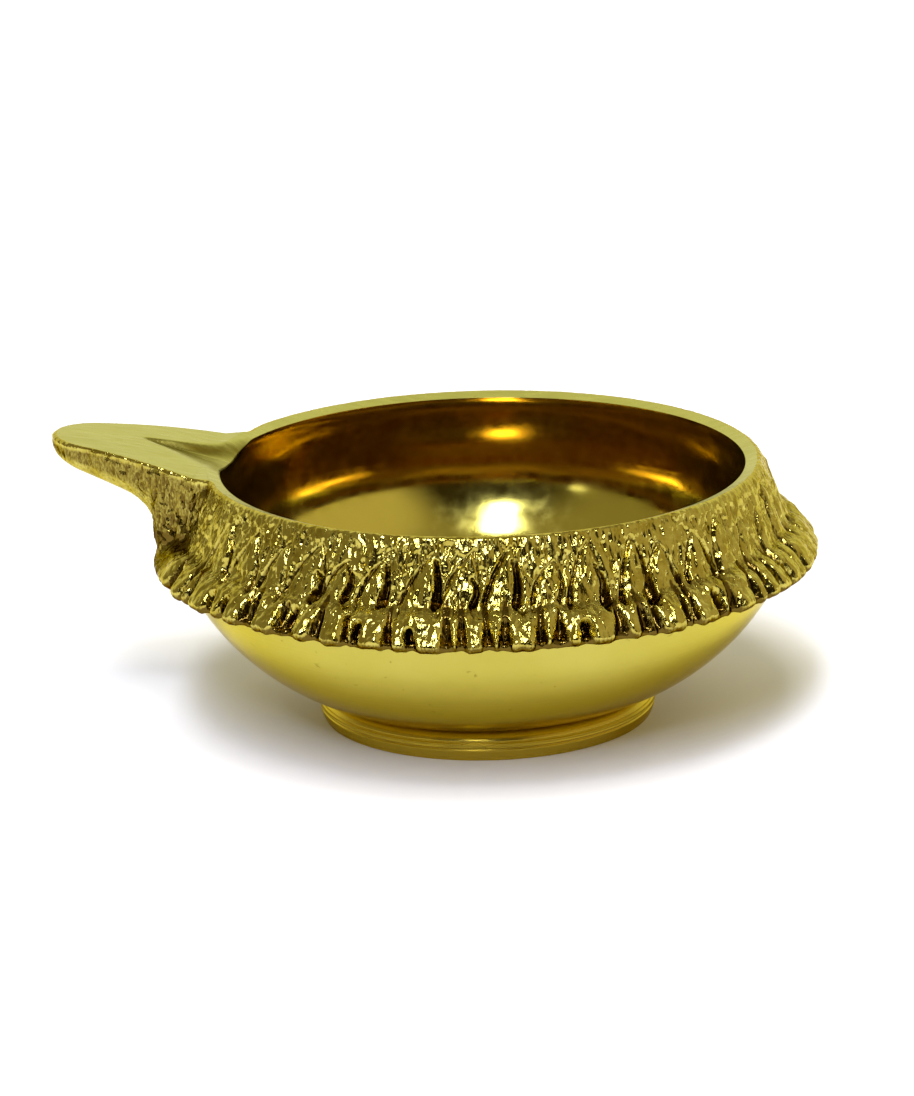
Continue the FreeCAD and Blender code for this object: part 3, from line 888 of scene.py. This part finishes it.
def chisel_lower_pits(chisel, generator):
    """Wedge-shaped pits that stand on the lower edge, with rounded lobes left between them.

    They are narrower opposite the spout.
    """
    for number in range(LOWER_PITS):
        turn = (number + generator.uniform(-0.3, 0.3)) * 360 / LOWER_PITS
        lean = generator.uniform(-0.45, 0.45)
        wide = 0.5 + 0.85 * generator.uniform(0, 1) ** 1.3
        top = generator.uniform(*PIT_TOPS)
        begun = smooth_step((turn - NARROW_PITS[0]) / NARROW_FADE)
        not_over = smooth_step((NARROW_PITS[1] - turn) / NARROW_FADE)
        wide *= 1 - NARROWED_BY * begun * not_over
        if PITS_START < turn < 360 - PITS_START:
            foot, size = (chisel.at(turn) - lean, PIT_FOOT), (lean, top - PIT_FOOT)
            hard, soft = (wide, 0.22), (1.3 * wide + 0.25, wide + 0.15)
            chisel.pare(foot, size, bow=0.0, left=hard, right=hard,
                        floor=PIT_FLOOR_RADII, shape=0.5, dirt=1.0)
            chisel.pare(foot, size, bow=0.0, left=soft, right=soft,
                        floor=PIT_SHOULDER_RADII, shape=2.2, dirt=0.0)


def on_lobes(height):
    """1 on the lobes of the lower row and 0 above them."""
    return smooth_step((ROWS_MEET - height) / LOBE_FADE)


def chisel_stipple(chisel, generator):
    """Short upright strokes all over, ring and spout; petals and lobes hardly get any."""
    strokes = ChiselMap(chisel.turns, chisel.contour, chisel.radius, chisel.height)
    for _ in range(STIPPLES):
        around, height = generator.uniform(0, chisel.round), generator.uniform(*STIPPLE_HEIGHTS)
        size = (generator.uniform(-0.15, 0.15), generator.uniform(0.3, 0.8))
        wide, deep = generator.uniform(0.14, 0.28), generator.uniform(0.08, 0.26)
        strokes.cut((around, height), size, bow=0.0, left=(wide, wide), right=(wide, wide),
                    deep=(deep, deep), shape=0.9)
    on_petals = smooth_step(chisel.swell / PETAL_SWELL)
    spared = np.maximum(PETALS_SPARED * on_petals, LOBES_SPARED * on_lobes(chisel.height))
    chisel.depth = np.maximum(chisel.depth, strokes.depth * (1 - spared))


def chisel_spout_sides(chisel, generator):
    """Nicks along the upper edges of the spout's sides, and the creases where they meet the ring."""
    side_length = chisel.around[FINE_COLUMNS] / 2
    tip = chisel.around[FINE_COLUMNS // 2]
    for side in (-1, 1):
        for number in range(SIDE_NICKS):
            step = number + generator.uniform(0.2, 0.8)
            from_tip = FIRST_NICK + (side_length - NICKS_LEFT_OUT) * step / SIDE_NICKS
            column = np.argmin(np.abs(chisel.around - (tip + side * from_tip)))
            deep = generator.uniform(0.25, 0.42)
            foot = (chisel.around[column], chisel.height[column, -1] - generator.uniform(0.5, 0.9))
            chisel.cut(foot, (0.0, NICK_HEIGHT), bow=0.0, left=(0.1, 0.3), right=(0.1, 0.3),
                       deep=(0.05 * deep, deep), shape=0.9)
        crease_turn = (side * CREASE_TURN) % (2 * math.pi)
        crease = chisel.around[np.argmin(np.abs(chisel.turns - crease_turn))]
        chisel.cut((crease, WAIST_HEIGHT), (side * -0.3, 5.2), bow=side * 0.3,
                   left=(0.55, 0.4), right=(0.55, 0.4), deep=(0.5, 0.35), shape=0.8)


def cast_roughness(chisel, generator):
    """Unevenness of the cast surface, in three sizes of patches; less of it on petals and lobes."""
    share, up = (chisel.around / chisel.round)[:, None], chisel.height - COLLAR_BASE
    coarse, upright, fine = [Patches(generator, cells, rows)(share * cells, up * rows_per_mm)
                             for cells, rows, rows_per_mm in PATCH_SIZES]
    on_petals = smooth_step(chisel.swell / PETAL_SWELL)
    plain = 1 - 0.6 * on_lobes(chisel.height)
    return 0.09 * coarse + 0.09 * upright * (1 - 0.5 * on_petals) + 0.04 * fine * plain


def collar_relief(turns, sheet, outer, normals, generator):
    """Depth of everything cut or cast into the outside, and where it is dark: patina, and painted shade
    along the lower edge and under the spout.

    It is calmer on the spout's sides and fades out on its underside. All of it stands out a little,
    most low down.
    """
    radius, height = sheet[..., 0], sheet[..., 1]
    chisel = ChiselMap(turns, outer[:, -1, :2], radius, height)
    chisel_upper_petals(chisel, generator)
    chisel_lower_pits(chisel, generator)
    chisel_stipple(chisel, generator)
    chisel_spout_sides(chisel, generator)
    rough = cast_roughness(chisel, generator)
    on_side = smooth_step((normals[..., 2] + 0.75) / 0.4)
    off_ring = smooth_step((radius - 30.6) / 1.5)
    calm = 1 - off_ring * (1 - 0.6 * on_side)
    stand = 0.16 - 0.12 * smooth_step((height - 17.0) / 3)
    face = chisel.swell * (1 - smooth_step(chisel.depth / 0.4))
    depth = (chisel.depth + rough - face) * calm - stand
    return depth, patina_and_painted_shade(turns, height, normals, depth, chisel.dirt)


def blurred(field, reach):
    """Mean over a block of vertices round each one, periodic around."""
    count = 2 * reach + 1
    around = sum(np.roll(field, k, axis=0) for k in range(-reach, reach + 1)) / count
    padded = np.pad(around, ((0, 0), (reach, reach)), mode="edge")
    return sum(padded[:, k:k + field.shape[1]] for k in range(count)) / count


def patina_and_painted_shade(turns, height, normals, depth, dirt):
    """Dark, 0 to 1: patina in cavities and cuts, darker where the rows meet, painted shade along the lower
    edge, and darker on the spout's sides, where the downward-facing keel's dark is painted shade.
    """
    cavity = smooth_step((depth - blurred(depth, 4)) / 0.2)
    deep = smooth_step((depth - 0.3) / 0.5)
    between = 0.45 * np.exp(-((height - ROWS_MEET) / 0.5) ** 2)
    # Painted shade along the collar's lower edge.
    painted_shade_under = 0.8 * smooth_step((COLLAR_BASE + 0.75 - height) / 0.4)
    turn = np.abs((turns + math.pi) % (2 * math.pi) - math.pi)[:, None]
    near_spout = smooth_step((math.radians(24) - turn) / math.radians(4))
    # Darker over the spout's sides below the top edge; on the downward-facing keel this dark is painted
    # shade.
    on_spout = near_spout * (0.45 + 0.55 * smooth_step((normals[..., 2] + 0.45) / 0.3))
    below = np.clip(height[:, -1:] - height, 0, None)
    band = 0.63 * on_spout * smooth_step((below - 0.1) / 0.35)
    return np.clip(0.6 * cavity + 0.8 * deep + dirt + between + painted_shade_under + band, 0, 1)


# ---- The collar put together

def chiselled_outside(turns):
    """The outside in space, with all its relief, and how much dark each place holds."""
    sheet = outer_sheet(turns)
    outer = in_space(turns, sheet)
    normals = sheet_normals(outer)
    depth, dark_and_shade = collar_relief(turns, sheet, outer, normals, np.random.default_rng(SEED))
    below_edge = OUTER_ROWS - 1 - np.arange(OUTER_ROWS)
    depth *= EDGE_RELIEF + (1 - EDGE_RELIEF) * smooth_step(below_edge / EDGE_FADE_ROWS)
    inwards = normals * CUT_DIRECTION
    inwards /= np.linalg.norm(inwards, axis=-1, keepdims=True)
    return outer - inwards * depth[..., None], dark_and_shade


def crease_rows(piece, rows, creased):
    """Mark the rings of edges along some rows as sharp."""
    mesh = piece.data
    ends = np.zeros(len(mesh.edges) * 2, int)
    mesh.edges.foreach_get("vertices", ends)
    row = ends.reshape(-1, 2) % rows
    sharp = (row[:, 0] == row[:, 1]) & np.isin(row[:, 0], creased)
    mesh.attributes.new("sharp_edge", "BOOLEAN", "EDGE").data.foreach_set("value", sharp)


def make_collar(materials):
    """Collar and spout: materials are for the outside, the filed top and the inside."""
    turns = collar_turns()
    outer, outer_dark_and_shade = chiselled_outside(turns)
    top = in_space(turns, top_sheet(turns, outer[:, -1]))
    inner = in_space(turns, inner_sheet(top[:, -1, 2]))
    share = np.linspace(0, 1, UNDERSIDE_ROWS + 1)[None, 1:-1, None]
    underside = inner[:, -1:] * (1 - share) + outer[:, :1] * share
    grid = np.concatenate([outer, top, inner, underside], axis=1)
    columns, rows = grid.shape[:2]
    quads, quad_rows = ring_faces(columns, rows, closed=True)
    top_end = OUTER_ROWS + TOP_ROWS
    zone = np.zeros(rows, int)
    zone[OUTER_ROWS - 1 + ROUNDING_ROWS:top_end - 1] = 1
    zone[top_end - 1:] = 2
    # The dark attribute: patina and painted shade on the outside, and on the top the duller wick groove
    # with painted shade on its far wall.
    dark_and_shade = np.zeros((columns, rows))
    dark_and_shade[:, :OUTER_ROWS] = outer_dark_and_shade
    dark_and_shade[:, OUTER_ROWS:top_end] = groove_shape(-top[..., 0], -top[..., 1])[1]
    piece = make_piece("spout_collar_metal", grid.reshape(-1, 3), quads.tolist(), materials,
                       zone[quad_rows], {"dark_and_shade": dark_and_shade.ravel()})
    seam = top_end + LIP_ROWS - 1 + UNDERCUT_ROWS - 1
    crease_rows(piece, rows, [seam, seam + 1, seam + 2])
    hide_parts("spout_collar")


# ---- Table, light and camera

CAMERA_AZIMUTH = 8.5
CAMERA_ELEVATION = 16.41
CAMERA_ROLL = -1.478
CAMERA_DISTANCE = 416.4 * MM
CAMERA_LENS = 149.5
TARGET_TOWARDS_SPOUT = 2.505 * MM
TARGET_HEIGHT = 15.43 * MM
LIGHT_DISTANCE = 6.0
LIT_HEIGHT = 15 * MM
TABLE_HALF_WIDTH = 3.0
TABLE_WHITE = (0.9, 0.9, 0.89, 1)
ROOM = (0.31, 0.265, 0.15, 1)

# Parts of the room, dark in front, pale to the right and white behind: azimuth, elevation, inner and
# outer edge in degrees, and colour.
PANELS = (
    (0, 8, 20, 52, (0.03, 0.02, 0.006, 1)),
    (70, 22, 25, 50, (0.64, 0.55, 0.36, 1)),
    (180, 4, 46, 78, (1.0, 1.0, 0.90, 1)),
)


def direction(azimuth, elevation):
    """Unit vector from the lamp; azimuth 0 is the camera's side, and positive to its right."""
    a, e = math.radians(azimuth + CAMERA_AZIMUTH), math.radians(elevation)
    return Vector((math.sin(a) * math.cos(e), -math.cos(a) * math.cos(e), math.sin(e)))


def make_floor():
    """The white table top."""
    material = bpy.data.materials.new("white_table")
    material.use_nodes = True
    surface = material.node_tree.nodes["Principled BSDF"]
    surface.inputs["Base Color"].default_value = TABLE_WHITE
    surface.inputs["Roughness"].default_value = 0.9
    surface.inputs["Specular IOR Level"].default_value = 0.1
    half = TABLE_HALF_WIDTH
    corners = [(-half, -half, 0), (half, -half, 0), (half, half, 0), (-half, half, 0)]
    mesh = bpy.data.meshes.new("table_top")
    mesh.from_pydata(corners, [], [(0, 1, 2, 3)])
    mesh.materials.append(material)
    floor = bpy.data.objects.new("table_top", mesh)
    bpy.context.scene.collection.objects.link(floor)


def make_surroundings():
    """The room as the brass mirrors it: dim, with the panels' colours faded into it."""
    world = bpy.data.worlds.new("studio")
    bpy.context.scene.world = world
    world.use_nodes = True
    nodes, links = world.node_tree.nodes, world.node_tree.links
    coordinate = nodes.new("ShaderNodeTexCoord").outputs["Generated"]
    colour = None
    for azimuth, elevation, inner, outer, tint in PANELS:
        dot = nodes.new("ShaderNodeVectorMath")
        dot.operation = "DOT_PRODUCT"
        links.new(coordinate, dot.inputs[0])
        dot.inputs[1].default_value = direction(azimuth, elevation)
        edge = nodes.new("ShaderNodeMapRange")
        edge.interpolation_type = "SMOOTHSTEP"
        edge.inputs["From Min"].default_value = math.cos(math.radians(outer))
        edge.inputs["From Max"].default_value = math.cos(math.radians(inner))
        links.new(dot.outputs["Value"], edge.inputs["Value"])
        mix = nodes.new("ShaderNodeMix")
        mix.data_type = "RGBA"
        links.new(edge.outputs["Result"], mix.inputs[MIX_FACTOR])
        if colour is None:
            mix.inputs[MIX_FIRST].default_value = ROOM
        else:
            links.new(colour, mix.inputs[MIX_FIRST])
        mix.inputs[MIX_SECOND].default_value = tint
        colour = mix.outputs[MIX_RESULT]
    background = nodes["Background"]
    links.new(colour, background.inputs["Color"])
    background.inputs["Strength"].default_value = 1.0


def add_light(name, azimuth, elevation, width, height, radiance, tint=(1.0, 1.0, 1.0), mirrored=True):
    """A soft rectangular light that faces the lamp, with its brightness and colour as seen."""
    data = bpy.data.lights.new(name, "AREA")
    data.shape = "RECTANGLE"
    data.size, data.size_y = width, height
    data.energy = radiance * math.pi * width * height
    data.color = tint
    light = bpy.data.objects.new(name, data)
    bpy.context.scene.collection.objects.link(light)
    towards = direction(azimuth, elevation)
    light.location = towards * LIGHT_DISTANCE + Vector((0, 0, LIT_HEIGHT))
    light.rotation_mode = "QUATERNION"
    light.rotation_quaternion = towards.to_track_quat("Z", "Y")
    light.visible_camera = False
    light.visible_glossy = mirrored


def make_lights():
    """A tall window high on the camera's side, a small one to its left, and a ceiling."""
    add_light("window", azimuth=-10, elevation=48, width=1.0, height=3.2, radiance=26.0,
              tint=(0.9, 0.95, 1.25))
    add_light("small_window", azimuth=-41, elevation=13, width=0.6, height=0.6, radiance=3.0)
    add_light("ceiling", azimuth=-4, elevation=70, width=2.4, height=2.4, radiance=11.5,
              mirrored=False)


def make_camera():
    """Long lens, as the photograph's outlines ask for."""
    data = bpy.data.cameras.new("camera")
    data.sensor_width = 36.0
    data.lens = CAMERA_LENS
    data.clip_start, data.clip_end = 0.01, 10.0
    camera = bpy.data.objects.new("camera", data)
    bpy.context.scene.collection.objects.link(camera)
    a = math.radians(CAMERA_AZIMUTH)
    leftwards = Vector((-math.cos(a), -math.sin(a), 0)) * TARGET_TOWARDS_SPOUT
    target = leftwards + Vector((0, 0, TARGET_HEIGHT))
    towards = direction(0, CAMERA_ELEVATION)
    roll = Matrix.Rotation(math.radians(CAMERA_ROLL), 3, "Z")
    turn = towards.to_track_quat("Z", "Y").to_matrix() @ roll
    camera.matrix_world = Matrix.Translation(target + towards * CAMERA_DISTANCE) @ turn.to_4x4()
    bpy.context.scene.camera = camera


def main():
    """Materials, pieces, then table, light and camera."""
    satin = turned_brass("satin_brass", **SATIN_AND_PAINTED_SHADE, roughness=0.15, line_depth=0.02 * MM)
    foot = turned_brass("foot_brass", **FOOT, roughness=0.26, line_depth=0.03 * MM)
    polished = polished_brass("polished_brass", **POLISHED_AND_PAINTED_SHADE, roughness=0.14)
    chiselled = chiselled_brass("chiselled_brass", **CHISELLED)
    filed = filed_brass("filed_brass", **FILED)
    make_foot_ring([foot])
    make_bowl([satin, polished])
    make_collar([chiselled, filed, polished])
    make_floor()
    make_surroundings()
    make_lights()
    make_camera()
    bpy.context.scene.view_settings.view_transform = "Standard"


main()
